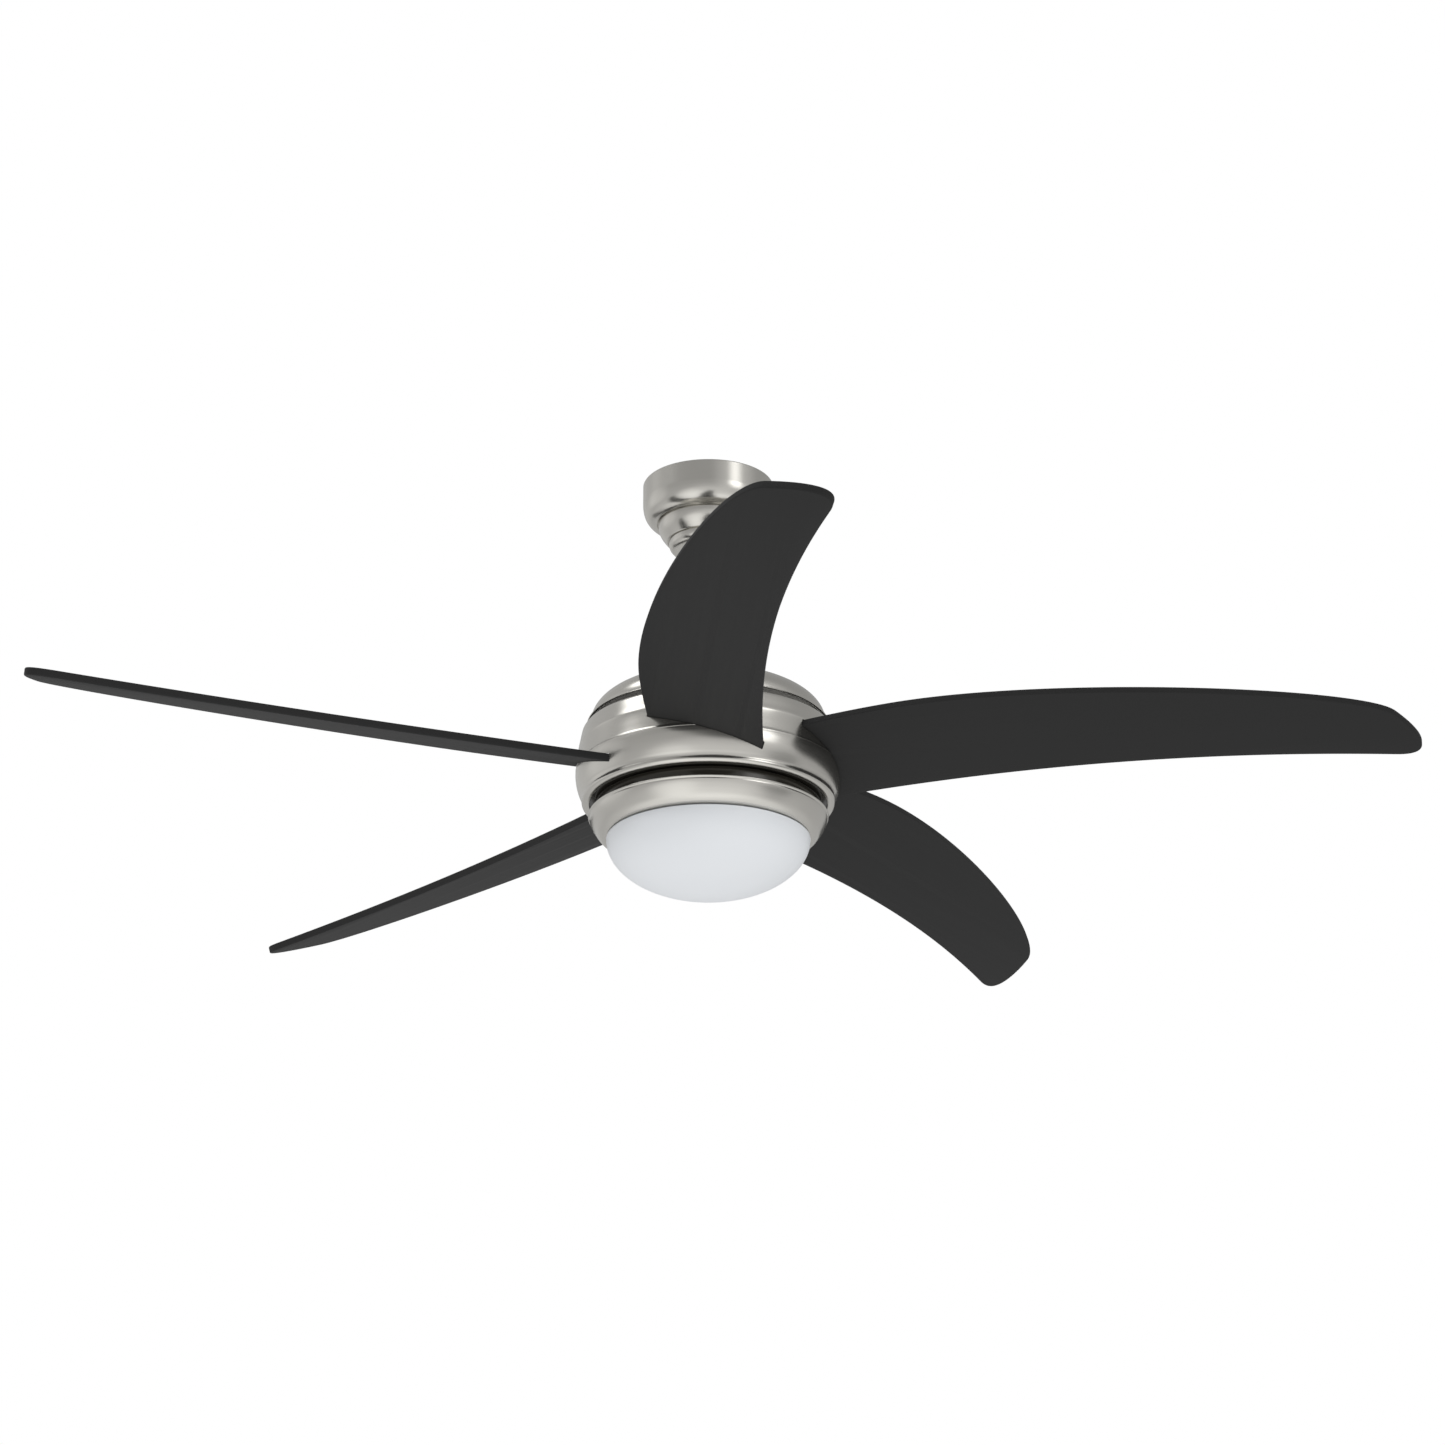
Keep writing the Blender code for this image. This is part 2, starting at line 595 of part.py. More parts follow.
NECK_TOP = -0.0297
NECK_SHEET = 0.0015
LIGHT_PLATE_TOP = -0.0458
SWITCH_HEIGHT = -0.0360
SWITCH_TRAVEL = 0.0040
REFLECTOR_TOP = -0.0490
GLASS_TOP = -0.0512
GLASS_WIDEST = -0.0640
PAN_SHEET = 0.0012
LUG_ANGLES = [math.radians(30 + 120 * i) for i in range(3)]
LAMP_HEIGHT = -0.0655
LAMP_HALF_LENGTH = 0.0590


def switch_housing():
    """The dark drum below the turning housing, with a slot at the back for the reversing switch."""
    profile = [(SHAFT_RADIUS + GAP, NECK_TOP), (0.1046, NECK_TOP), (NECK_RADIUS, NECK_TOP - 0.0018),
               (NECK_RADIUS, LIGHT_PLATE_TOP + GAP)]
    drum = shell(profile, NECK_SHEET, WIDE)
    slot = box((-0.0048, 0.095, SWITCH_HEIGHT - 0.0017), (0.0048, 0.115, SWITCH_HEIGHT + 0.0017))
    cut(drum, tool(slot, BLADE_PLANE))
    keep(drum, "switch_housing", DARK, BLADE_PLANE)
    nut = cylinder(0.0120, 0.0052, 6, (0, 0, -0.0344))
    cut(nut, tool(cylinder(SHAFT_RADIUS + GAP, 0.02, SMALL, (0, 0, -0.0344)), BLADE_PLANE))
    keep(nut, "shaft_nut", STEEL, BLADE_PLANE, smooth_angle=20)
    keep(box((0.034, -0.058, -0.0448), (0.070, -0.036, -0.0335)), "capacitor", PLASTIC, BLADE_PLANE)
    body = box((-0.0095, 0.0985, SWITCH_HEIGHT - 0.004), (0.0095, 0.1028, SWITCH_HEIGHT + 0.0035))
    keep(body, "switch_body", DARK, BLADE_PLANE)
    middle = -SWITCH_TRAVEL / 2
    knob_low = (middle - 0.0020, 0.1031, SWITCH_HEIGHT - 0.0013)
    knob_high = (middle + 0.0020, 0.1086, SWITCH_HEIGHT + 0.0013)
    keep(box(knob_low, knob_high), "switch_knob", PLASTIC, BLADE_PLANE)


def light_pan():
    """The nickel ring that carries the bowl, with three tabs inside for its lugs."""
    lip = [(0.1086, -0.0411), (0.1128, -0.0412)]
    side = [(0.1100, -0.0480), (0.1073, -0.0530), (0.1037, -0.0580), (0.0994, -0.0613), (0.0946, -0.0629)]
    pan = shell(lip + side, PAN_SHEET, WIDE)
    for angle in LUG_ANGLES:
        tab = box((0.0939, -0.008, -0.0560), (0.1043, 0.008, -0.0550))
        join(pan, tool(tab, BLADE_PLANE, (0, 0, angle)))
    keep(pan, "light_pan", NICKEL, BLADE_PLANE)
    plate = ring(SHAFT_RADIUS + 0.004, 0.1080, LIGHT_PLATE_TOP, LIGHT_PLATE_TOP - 0.0012, WIDE)
    keep(plate, "light_plate", STEEL, BLADE_PLANE)
    reflector = ring(0.0060, 0.0900, REFLECTOR_TOP, REFLECTOR_TOP - 0.0010, WIDE)
    keep(reflector, "reflector", REFLECTOR, BLADE_PLANE)


def lamp():
    """A linear lamp between two ceramic holders that hang from the reflector."""
    bulb = [(0, LAMP_HALF_LENGTH), (0.0032, LAMP_HALF_LENGTH), (0.0032, LAMP_HALF_LENGTH - 0.008),
            (0.0055, LAMP_HALF_LENGTH - 0.012)]
    profile = bulb + [(radius, -length) for radius, length in reversed(bulb)]
    tube = turned(profile, FINE, closed=False)
    keep(tube, "lamp", LAMP, BLADE_PLANE + Vector((0, 0, LAMP_HEIGHT)))
    tube.rotation_euler = (0, math.pi / 2, 0)
    for number, side in enumerate((-1, 1), start=1):
        inner, outer = sorted((side * (LAMP_HALF_LENGTH - 0.004), side * (LAMP_HALF_LENGTH + 0.009)))
        holder = box((inner, -0.009, LAMP_HEIGHT - 0.007), (outer, 0.009, REFLECTOR_TOP - 0.0013))
        socket = cylinder(0.0037, 2 * LAMP_HALF_LENGTH + 0.002, FINE, (0, 0, LAMP_HEIGHT), "X")
        cut(holder, tool(socket, BLADE_PLANE))
        keep(holder, f"lamp_holder_{number}", CERAMIC, BLADE_PLANE)


def glass_bowl():
    """The opal bowl: a half ellipsoid below a short neck with three bayonet lugs."""
    neck = [(0.0920, GLASS_TOP), (0.0920, -0.0615)]
    bowl = arc((0, GLASS_WIDEST), (GLASS_RADIUS, GLASS_DEPTH), 0, -90, 8)
    bowl[-1] = (0, GLASS_WIDEST - GLASS_DEPTH)
    body = shell(neck + bowl, 0.0030, WIDE)
    for angle in LUG_ANGLES:
        lug = box((0.0905, -0.007, -0.0541), (0.0965, 0.007, -0.0524))
        join(body, tool(lug, BLADE_PLANE, (0, 0, angle)))
    keep(body, "glass_bowl", OPAL, BLADE_PLANE)


hanger_bracket()
canopy()
canopy_cover()
canopy_screws()
canopy_electrics()
seat_liner()
hanger_ball()
downrod()
yoke()
coupling_pin()
coupling_cover()
top_cap()
motor_shaft()
stator_core()
rotor_bells()
bearings()
housing_shells()
hub_plate()
blades()
switch_housing()
light_pan()
lamp()
glass_bowl()
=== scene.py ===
"""The looks of the ceiling fan with light: fine turned shells, blades, materials, a studio and a camera.

Metres, +Z up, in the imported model's frame. The origin is where the bracket meets the ceiling. Heights in the
fan head are measured from the blade plane, and heights in the canopy from the ceiling.
"""

import json
import math

import bmesh
import bpy
from mathutils import Matrix, Vector

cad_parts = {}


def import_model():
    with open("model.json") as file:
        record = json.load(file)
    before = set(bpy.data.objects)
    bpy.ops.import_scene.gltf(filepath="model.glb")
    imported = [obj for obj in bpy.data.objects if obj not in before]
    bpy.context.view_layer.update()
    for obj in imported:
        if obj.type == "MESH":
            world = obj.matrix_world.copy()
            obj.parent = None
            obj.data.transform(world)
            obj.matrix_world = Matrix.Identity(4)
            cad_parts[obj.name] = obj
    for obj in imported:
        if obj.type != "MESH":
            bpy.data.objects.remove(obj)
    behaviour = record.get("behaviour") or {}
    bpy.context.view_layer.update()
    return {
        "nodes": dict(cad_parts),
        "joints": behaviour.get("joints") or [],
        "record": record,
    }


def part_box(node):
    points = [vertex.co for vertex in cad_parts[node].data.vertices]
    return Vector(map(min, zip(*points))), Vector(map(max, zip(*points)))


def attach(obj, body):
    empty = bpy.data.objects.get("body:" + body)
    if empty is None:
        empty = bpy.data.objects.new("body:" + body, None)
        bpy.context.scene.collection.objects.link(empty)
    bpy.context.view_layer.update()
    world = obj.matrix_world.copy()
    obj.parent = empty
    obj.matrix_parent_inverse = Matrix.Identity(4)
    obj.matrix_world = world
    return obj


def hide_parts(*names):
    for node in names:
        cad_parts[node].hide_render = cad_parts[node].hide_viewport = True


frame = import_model()

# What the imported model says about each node, and where its joints are
RECORD = frame["record"]
NODES = frame["nodes"]
BODY_OF = {node: body for body, nodes in RECORD["behaviour"]["bodies"].items() for node in nodes}
SLOT_OF = {entry["node"]: entry["material_slot"] for entry in RECORD["subparts"]}
JOINT_PLACE = {joint["name"]: joint["pos_m"] for joint in frame["joints"] if "pos_m" in joint}
PLANE = Vector((0, 0, JOINT_PLACE["rotor_spin"][2]))
BALL_CENTRE = Vector((0, 0, JOINT_PLACE["ball_tilt_x"][2]))

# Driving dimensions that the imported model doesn't name
BLADE_COUNT = 5
BLADE_PITCH = math.radians(17.5)
BLADE_THICKNESS = 0.0069
FIRST_BLADE_ANGLE = math.radians(-85.6)
BLADE_ANGLES = [FIRST_BLADE_ANGLE + 2 * math.pi * i / BLADE_COUNT for i in range(BLADE_COUNT)]
LUG_ANGLES = [math.radians(30 + 120 * i) for i in range(3)]

# The name that meshes keep a piece's own coordinates under
OWN_PLACE = "own_place"

# Facets around the wide shells, the middling pieces and the small ones
WIDE = 224
MIDDLE = 112
SMALL = 48

# How far a cutter for a screw hole reaches above and below its sheet
HOLE_REACH = 0.005

# Points nearer than this are one point: in an outline, on a turned solid's axis, and on a filled curve
SAME_POINT = 0.00001
SAME_AXIS_POINT = 0.000001


# ---------------------------------------------------------------- outlines

def smooth(points, count=6):
    """A smooth line (Catmull-Rom) through (radius, height) points, with some steps for each span."""
    first = 2 * Vector(points[0]) - Vector(points[1])
    last = 2 * Vector(points[-1]) - Vector(points[-2])
    knots = [first] + [Vector(point) for point in points] + [last]
    line = []
    for a, b, c, d in zip(knots, knots[1:], knots[2:], knots[3:]):
        for step in range(count):
            t = step / count
            line.append(0.5 * (2 * b + (c - a) * t + (2 * a - 5 * b + 4 * c - d) * t ** 2
                               + (3 * b - a - 3 * c + d) * t ** 3))
    return [tuple(point) for point in line] + [tuple(points[-1])]


def arc(centre, radii, start, end, count):
    """Points on an ellipse's arc about (radius, height), with angles in degrees from the horizontal."""
    angles = [math.radians(start + (end - start) * i / count) for i in range(count + 1)]
    return [(centre[0] + radii[0] * math.cos(a), centre[1] + radii[1] * math.sin(a)) for a in angles]


def chain(*stretches):
    """One outline from several stretches, without the points that they share."""
    line = []
    for point in (point for stretch in stretches for point in stretch):
        if not line or (Vector(point) - Vector(line[-1])).length > SAME_POINT:
            line.append(point)
    return line


def side_ways(line):
    """The outward direction at each point of an outline that runs down its outer side, mitred at corners."""
    points = [Vector(point) for point in line]
    steps = [(b - a).normalized() for a, b in zip(points, points[1:])]
    normals = [Vector((-step.y, step.x)) for step in steps]
    ways = []
    for before, after in zip([normals[0]] + normals, normals + [normals[-1]]):
        middle = (before + after).normalized()
        ways.append(middle / max(0.5, middle.dot(after)))
    return ways


def sheet(line, thickness, low_end_round=True, top_end_round=True):
    """The closed outline of a sheet whose outer side is the line. Its free ends are round unless told."""
    ways = side_ways(line)
    outer = [Vector(point) for point in line]
    inner = [point - way * thickness for point, way in zip(outer, ways)]
    on_axis = line[-1][0] < SAME_POINT
    if on_axis:
        inner[-1].x = 0
    top_end = []
    low_end = []
    if top_end_round:
        top_end = round_end(inner[0], outer[0], (outer[0] - outer[1]).normalized())
    if low_end_round and not on_axis:
        low_end = round_end(outer[-1], inner[-1], (outer[-1] - outer[-2]).normalized())
    return [tuple(point) for point in top_end + outer + low_end + inner[::-1]]


def round_end(start, end, forward, count=5):
    """The points of a half circle from start to end, without the two themselves."""
    centre = (start + end) / 2
    across = start - centre
    angles = [math.pi * (i + 1) / (count + 1) for i in range(count)]
    return [centre + across * math.cos(a) + forward * across.length * math.sin(a) for a in angles]


def ring_outline(inner, outer, top, bottom, edge=0.0003):
    """The closed outline of a ring with its four edges broken."""
    return [(inner + edge, top), (outer - edge, top), (outer, top - edge), (outer, bottom + edge),
            (outer - edge, bottom), (inner + edge, bottom), (inner, bottom + edge), (inner, top - edge)]


# ---------------------------------------------------------------- solids

def from_bmesh(name, bm):
    mesh = bpy.data.meshes.new(name)
    bm.to_mesh(mesh)
    bm.free()
    obj = bpy.data.objects.new(name, mesh)
    bpy.context.scene.collection.objects.link(obj)
    return obj


def turned(name, line, steps=WIDE, place=(0, 0, 0), closed=True):
    """Turn an outline of (radius, height) about Z into a solid, and put it in its place."""
    bm = bmesh.new()
    verts = [bm.verts.new((radius, 0, height)) for radius, height in line]
    pairs = list(zip(verts, verts[1:])) + ([(verts[-1], verts[0])] if closed else [])
    edges = [bm.edges.new(pair) for pair in pairs]
    bmesh.ops.spin(bm, geom=verts + edges, cent=(0, 0, 0), axis=(0, 0, 1), angle=2 * math.pi, steps=steps,
                   use_merge=True)
    bmesh.ops.remove_doubles(bm, verts=bm.verts, dist=SAME_AXIS_POINT)
    bmesh.ops.delete(bm, geom=[edge for edge in bm.edges if edge.is_wire], context="EDGES")
    bmesh.ops.recalc_face_normals(bm, faces=bm.faces)
    bmesh.ops.translate(bm, verts=bm.verts, vec=place)
    return from_bmesh(name, bm)


def block(name, low, high, edge=0.0):
    """A box between two corners, with rounded edges."""
    bm = bmesh.new()
    bmesh.ops.create_cube(bm, size=1)
    size = Vector(high) - Vector(low)
    middle = (Vector(high) + Vector(low)) / 2
    for vert in bm.verts:
        vert.co = Vector(v * s for v, s in zip(vert.co, size)) + middle
    if edge:
        bmesh.ops.bevel(bm, geom=bm.edges[:], offset=edge, segments=3, profile=0.5, affect="EDGES")
    return from_bmesh(name, bm)


def head_block(name, low, high, edge=0.0):
    """A box in the fan head, with its corners measured from the blade plane."""
    return block(name, PLANE + Vector(low), PLANE + Vector(high), edge)


def rod(name, radius, start, end, steps=SMALL, edge=0.0):
    """A round bar between two points, with its end edges broken."""
    length = (Vector(end) - Vector(start)).length
    line = [(0, length), (radius - edge, length), (radius, length - edge),
            (radius, edge), (radius - edge, 0), (0, 0)]
    obj = turned(name, chain(line), steps, closed=False)
    turn = Vector((0, 0, 1)).rotation_difference(Vector(end) - Vector(start)).to_matrix().to_4x4()
    obj.data.transform(turn)
    obj.data.transform(Matrix.Translation(start))
    return obj


def upright_hole(x, radius, height):
    """A cutter for a screw hole through a sheet at that height."""
    return rod("hole", radius, (x, 0, height - HOLE_REACH), (x, 0, height + HOLE_REACH))


def combined(obj, other, operation):
    """Cut or join two solids for good, and remove the second one."""
    boolean = obj.modifiers.new("combine", "BOOLEAN")
    boolean.operation = operation
    boolean.solver = "EXACT"
    boolean.object = other
    apply_modifiers(obj)
    bpy.data.objects.remove(other, do_unlink=True)
    return obj


def cut(obj, other):
    return combined(obj, other, "DIFFERENCE")


def join(obj, other):
    return combined(obj, other, "UNION")


def apply_modifiers(obj):
    bpy.context.view_layer.update()
    graph = bpy.context.evaluated_depsgraph_get()
    mesh = bpy.data.meshes.new_from_object(obj.evaluated_get(graph))
    obj.modifiers.clear()
    obj.data = mesh


def about_axis(obj, angle):
    """Turn a solid about the fan's axis."""
    obj.rotation_euler = (0, 0, angle)
    return obj


def stand_in(obj, node, smooth_angle=40):
    """Let a fine piece stand for a CAD node, on that node's body and with its material.

    Its mesh takes the piece's place, as a CAD node's does, and keeps the piece's own coordinates beside it.
    """
    obj.name = f"{node}_fine"
    obj.data.name = obj.name
    own = obj.data.attributes.new(OWN_PLACE, "FLOAT_VECTOR", "POINT")
    own.data.foreach_set("vector", [value for vert in obj.data.vertices for value in vert.co])
    bpy.context.view_layer.update()
    obj.data.transform(obj.matrix_world)
    obj.matrix_world = Matrix.Identity(4)
    obj.data.materials.clear()
    obj.data.materials.append(MATERIALS[SLOT_OF[node]])
    obj.data.shade_smooth()
    obj.data.set_sharp_from_angle(angle=math.radians(smooth_angle))
    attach(obj, BODY_OF[node])
    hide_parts(node)
    return obj


# ---------------------------------------------------------------- materials

def add_node(tree, kind, inputs=(), **settings):
    """Add a node, set its properties, and give its inputs by name or number: a value or an output."""
    node = tree.nodes.new(kind)
    for name, value in settings.items():
        setattr(node, name, value)
    for key, value in dict(inputs).items():
        if isinstance(value, bpy.types.NodeSocket):
            tree.links.new(value, node.inputs[key])
        else:
            node.inputs[key].default_value = value
    return node


class Surface:
    """A material with its Principled shader, and short ways to add and join nodes."""

    def __init__(self, name, color, roughness, metallic=0.0):
        self.material = bpy.data.materials.new(name)
        self.material.use_nodes = True
        self.tree = self.material.node_tree
        self.shader = self.tree.nodes["Principled BSDF"]
        self.set("Base Color", (*color, 1))
        self.set("Roughness", roughness)
        self.set("Metallic", metallic)

    def set(self, socket, value):
        self.shader.inputs[socket].default_value = value

    def node(self, kind, inputs=(), **settings):
        return add_node(self.tree, kind, inputs, **settings)

    def place(self):
        """The piece's own coordinates, so that the pattern moves with the piece."""
        return self.node("ShaderNodeTexCoord").outputs["Object"]

    def around(self, turns, lines):
        """Coordinates for marks that run round the Z axis: slow along the circle, fast up and outwards."""
        place = self.place()
        flat = self.node("ShaderNodeVectorMath", {0: place, 1: (1, 1, 0)}, operation="MULTIPLY").outputs[0]
        radius = self.node("ShaderNodeVectorMath", {0: flat}, operation="LENGTH").outputs["Value"]
        unit = self.node("ShaderNodeVectorMath", {0: flat}, operation="NORMALIZE").outputs[0]
        wide = self.node("ShaderNodeVectorMath", {0: unit, "Scale": turns}, operation="SCALE").outputs[0]
        up = self.node("ShaderNodeVectorMath", {0: place, 1: (0, 0, lines)}, operation="MULTIPLY").outputs[0]
        both = self.node("ShaderNodeVectorMath", {0: wide, 1: up}, operation="ADD").outputs[0]
        out = self.node("ShaderNodeMath", {0: radius, 1: lines}, operation="MULTIPLY").outputs[0]
        return both, out

    def noise(self, vector, scale, detail=4, extra=None):
        """A noise value between 0 and 1. The extra number is a fourth coordinate."""
        inputs = {"Vector": vector, "Scale": scale, "Detail": detail}
        if extra is not None:
            inputs["W"] = extra
        sort = "3D" if extra is None else "4D"
        return self.node("ShaderNodeTexNoise", inputs, noise_dimensions=sort).outputs["Fac"]

    def own_place(self):
        """Coordinates from before a fine piece was put in its place, for marks that follow its length."""
        return self.node("ShaderNodeAttribute", attribute_name=OWN_PLACE).outputs["Vector"]

    def stretched(self, place, scale):
        """Coordinates with a scale for each axis."""
        return self.node("ShaderNodeMapping", {"Vector": place, "Scale": scale}).outputs["Vector"]

    def vary(self, socket, factor, low, high):
        """Let a pattern move a socket between two values or two colours."""
        if isinstance(low, tuple):
            mix = self.node("ShaderNodeMix", {0: factor, 6: (*low, 1), 7: (*high, 1)}, data_type="RGBA")
            value = mix.outputs[2]
        else:
            inputs = {"Value": factor, "To Min": low, "To Max": high}
            value = self.node("ShaderNodeMapRange", inputs).outputs[0]
        self.tree.links.new(value, self.shader.inputs[socket])

    def bump(self, height, distance, strength=1.0):
        inputs = {"Height": height, "Distance": distance, "Strength": strength}
        if self.shader.inputs["Normal"].is_linked:
            inputs["Normal"] = self.shader.inputs["Normal"].links[0].from_socket
        normal = self.node("ShaderNodeBump", inputs).outputs["Normal"]
        self.tree.links.new(normal, self.shader.inputs["Normal"])


def nickel():
    """Satin plate, brushed round the axis, so highlights spread up and down the profile."""
    surface = Surface("satin_nickel", (0.60, 0.585, 0.545), 0.3, 1.0)
    lines, out = surface.around(5, 2200)
    brush = surface.noise(lines, 1.0, 3, out)
    cloud = surface.noise(surface.place(), 9, 3)
    surface.vary("Base Color", cloud, (0.575, 0.562, 0.525), (0.625, 0.61, 0.57))
    surface.vary("Roughness", brush, 0.20, 0.27)
    surface.bump(brush, 0.00001, 0.06)
    surface.set("Anisotropic", 0.3)
    surface.set("Anisotropic Rotation", 0.25)
    tangent = surface.node("ShaderNodeTangent", direction_type="RADIAL", axis="Z").outputs["Tangent"]
    surface.tree.links.new(tangent, surface.shader.inputs["Tangent"])
    return surface.material


def blade_foil():
    """Matt black foil over pressed board, with a faint grain along the blade."""
    surface = Surface("blade_black", (0.020, 0.020, 0.020), 0.6)
    grain = surface.noise(surface.stretched(surface.own_place(), (6, 160, 160)), 1.0, 6)
    speckle = surface.noise(surface.place(), 1400, 2)
    surface.vary("Base Color", grain, (0.0225, 0.0225, 0.0225), (0.0245, 0.0245, 0.0245))
    surface.vary("Roughness", grain, 0.58, 0.68)
    surface.bump(grain, 0.00003, 0.1)
    surface.bump(speckle, 0.00001, 0.1)
    surface.set("Specular IOR Level", 0.12)
    return surface.material


def opal():
    """Opal bowl, satin outside: a soft white with a cool cast."""
    surface = Surface("opal_glass", (0.82, 0.845, 0.875), 0.42)
    cloud = surface.noise(surface.place(), 14, 2)
    grain = surface.noise(surface.place(), 900, 2)
    surface.vary("Base Color", cloud, (0.80, 0.825, 0.855), (0.83, 0.852, 0.878))
    surface.vary("Roughness", cloud, 0.38, 0.48)
    surface.bump(grain, 0.00001, 0.2)
    surface.set("Specular IOR Level", 0.35)
    surface.set("Subsurface Weight", 0.15)
    surface.set("Subsurface Radius", (0.004, 0.004, 0.004))
    return surface.material


def dark_paint():
    surface = Surface("dark_paint", (0.018, 0.017, 0.014), 0.3, 0.2)
    grain = surface.noise(surface.place(), 700, 3)
    cloud = surface.noise(surface.place(), 30, 3)
    surface.vary("Base Color", cloud, (0.030, 0.027, 0.021), (0.040, 0.037, 0.030))
    surface.vary("Roughness", grain, 0.12, 0.22)
    surface.bump(grain, 0.00002, 0.1)
    return surface.material


def zinc_steel():
    surface = Surface("zinc_steel", (0.56, 0.57, 0.58), 0.34, 1.0)
    crystal = surface.node("ShaderNodeTexVoronoi", {"Vector": surface.place(), "Scale": 420})
    shade = surface.node("ShaderNodeRGBToBW", {0: crystal.outputs["Color"]}).outputs[0]
    scratch = surface.noise(surface.stretched(surface.place(), (60, 60, 900)), 1.0, 3)
    surface.vary("Base Color", shade, (0.50, 0.51, 0.52), (0.62, 0.63, 0.65))
    surface.vary("Roughness", scratch, 0.26, 0.44)
    surface.bump(scratch, 0.00002, 0.3)
    return surface.material


def cast_aluminium():
    surface = Surface("cast_aluminium", (0.50, 0.50, 0.51), 0.5, 1.0)
    grain = surface.noise(surface.place(), 900, 5)
    surface.vary("Base Color", surface.noise(surface.place(), 60, 3), (0.44, 0.44, 0.45), (0.54, 0.54, 0.55))
    surface.vary("Roughness", grain, 0.42, 0.6)
    surface.bump(grain, 0.0001, 0.5)
    return surface.material


def laminated_iron():
    """Stacked sheets: fine level lines, with rust-brown varnish in them."""
    surface = Surface("laminated_iron", (0.20, 0.19, 0.18), 0.45, 1.0)
    wave = surface.node("ShaderNodeTexWave", {"Vector": surface.place(), "Scale": 300, "Distortion": 0.2},
                        wave_type="BANDS", bands_direction="Z").outputs["Fac"]
    surface.vary("Base Color", wave, (0.10, 0.085, 0.075), (0.26, 0.25, 0.24))
    surface.vary("Roughness", wave, 0.6, 0.4)
    surface.bump(wave, 0.0001, 0.6)
    return surface.material


def copper():
    """Enamelled wire wound round the core."""
    surface = Surface("winding_wire", (0.55, 0.24, 0.10), 0.35, 1.0)
    lines, out = surface.around(1, 900)
    strand = surface.noise(lines, 1.0, 1, out)
    surface.vary("Base Color", strand, (0.36, 0.13, 0.05), (0.66, 0.30, 0.13))
    surface.vary("Roughness", strand, 0.5, 0.28)
    surface.bump(strand, 0.0003, 0.8)
    return surface.material


def rubber():
    surface = Surface("seat_rubber", (0.028, 0.028, 0.028), 0.75)
    grain = surface.noise(surface.place(), 1200, 3)
    surface.vary("Base Color", grain, (0.022, 0.022, 0.022), (0.036, 0.036, 0.036))
    surface.vary("Roughness", grain, 0.68, 0.85)
    surface.bump(grain, 0.00005, 0.5)
    return surface.material


def plastic(name, dark, light, roughness):
    """Moulded plastic with a fine spark-eroded texture."""
    surface = Surface(name, light, roughness)
    grain = surface.noise(surface.place(), 1600, 2)
    surface.vary("Base Color", surface.noise(surface.place(), 40, 2), dark, light)
    surface.vary("Roughness", grain, roughness - 0.06, roughness + 0.08)
    surface.bump(grain, 0.00003, 0.4)
    return surface.material


def reflector_paint():
    surface = Surface("reflector_white", (0.86, 0.86, 0.85), 0.35)
    grain = surface.noise(surface.place(), 500, 3)
    surface.vary("Base Color", surface.noise(surface.place(), 20, 2), (0.83, 0.83, 0.82), (0.88, 0.88, 0.87))
    surface.vary("Roughness", grain, 0.3, 0.45)
    surface.bump(grain, 0.00003, 0.3)
    return surface.material


def lamp_glass():
    surface = Surface("lamp_glass", (0.95, 0.95, 0.93), 0.05)
    cloud = surface.noise(surface.place(), 120, 2)
    surface.vary("Base Color", cloud, (0.92, 0.92, 0.90), (0.97, 0.97, 0.95))
    surface.vary("Roughness", cloud, 0.04, 0.12)
    surface.set("Transmission Weight", 0.8)
    surface.set("IOR", 1.46)
    return surface.material


MATERIALS = {
    "nickel": nickel(),
    "blade": blade_foil(),
    "opal": opal(),
    "dark_paint": dark_paint(),
    "steel": zinc_steel(),
    "cast_aluminium": cast_aluminium(),
    "iron": laminated_iron(),
    "copper": copper(),
    "rubber": rubber(),
    "ball_plastic": plastic("ball_nylon", (0.085, 0.085, 0.085), (0.11, 0.11, 0.11), 0.5),
    "white_plastic": plastic("white_plastic", (0.76, 0.76, 0.74), (0.82, 0.82, 0.80), 0.45),
    "black_plastic": plastic("black_plastic", (0.022, 0.022, 0.022), (0.034, 0.034, 0.034), 0.4),
    "ceramic": plastic("holder_ceramic", (0.84, 0.83, 0.79), (0.90, 0.89, 0.85), 0.5),
    "reflector": reflector_paint(),
    "lamp_glass": lamp_glass(),
}


# ---------------------------------------------------------------- canopy

CANOPY_SHEET = 0.0010
CANOPY_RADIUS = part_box("canopy")[1].x
CANOPY_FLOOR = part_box("canopy")[0].z
CANOPY_SCREW_X = 0.042
CANOPY_SCREW_HOLE = 0.0025


def canopy():
    """A straight wall that rolls under to a fine rim, a groove, and a flat floor with two screw holes."""
    wall = [(CANOPY_RADIUS - 0.0005, -0.0010), (CANOPY_RADIUS, -0.0018), (CANOPY_RADIUS, -0.0212)]
    roll = smooth([(CANOPY_RADIUS, -0.0220), (0.0626, -0.0262), (0.0616, -0.0305), (0.0597, -0.0346),
                   (0.0567, -0.0380), (0.0530, -0.0402), (0.0506, -0.0410)], 5)
    rim = smooth([(0.0502, -0.0412), (0.0496, -0.0412), (0.0491, -0.0408), (0.0490, -0.0402)], 4)
    floor = [(0.0474, -0.0401), (0.0470, CANOPY_FLOOR), (0.0346, CANOPY_FLOOR)]
    body = turned("canopy", sheet(chain(wall, roll, rim, floor), CANOPY_SHEET))
    for x in (-CANOPY_SCREW_X, CANOPY_SCREW_X):
        cut(body, upright_hole(x, CANOPY_SCREW_HOLE, CANOPY_FLOOR))
    stand_in(body, "canopy", 30)


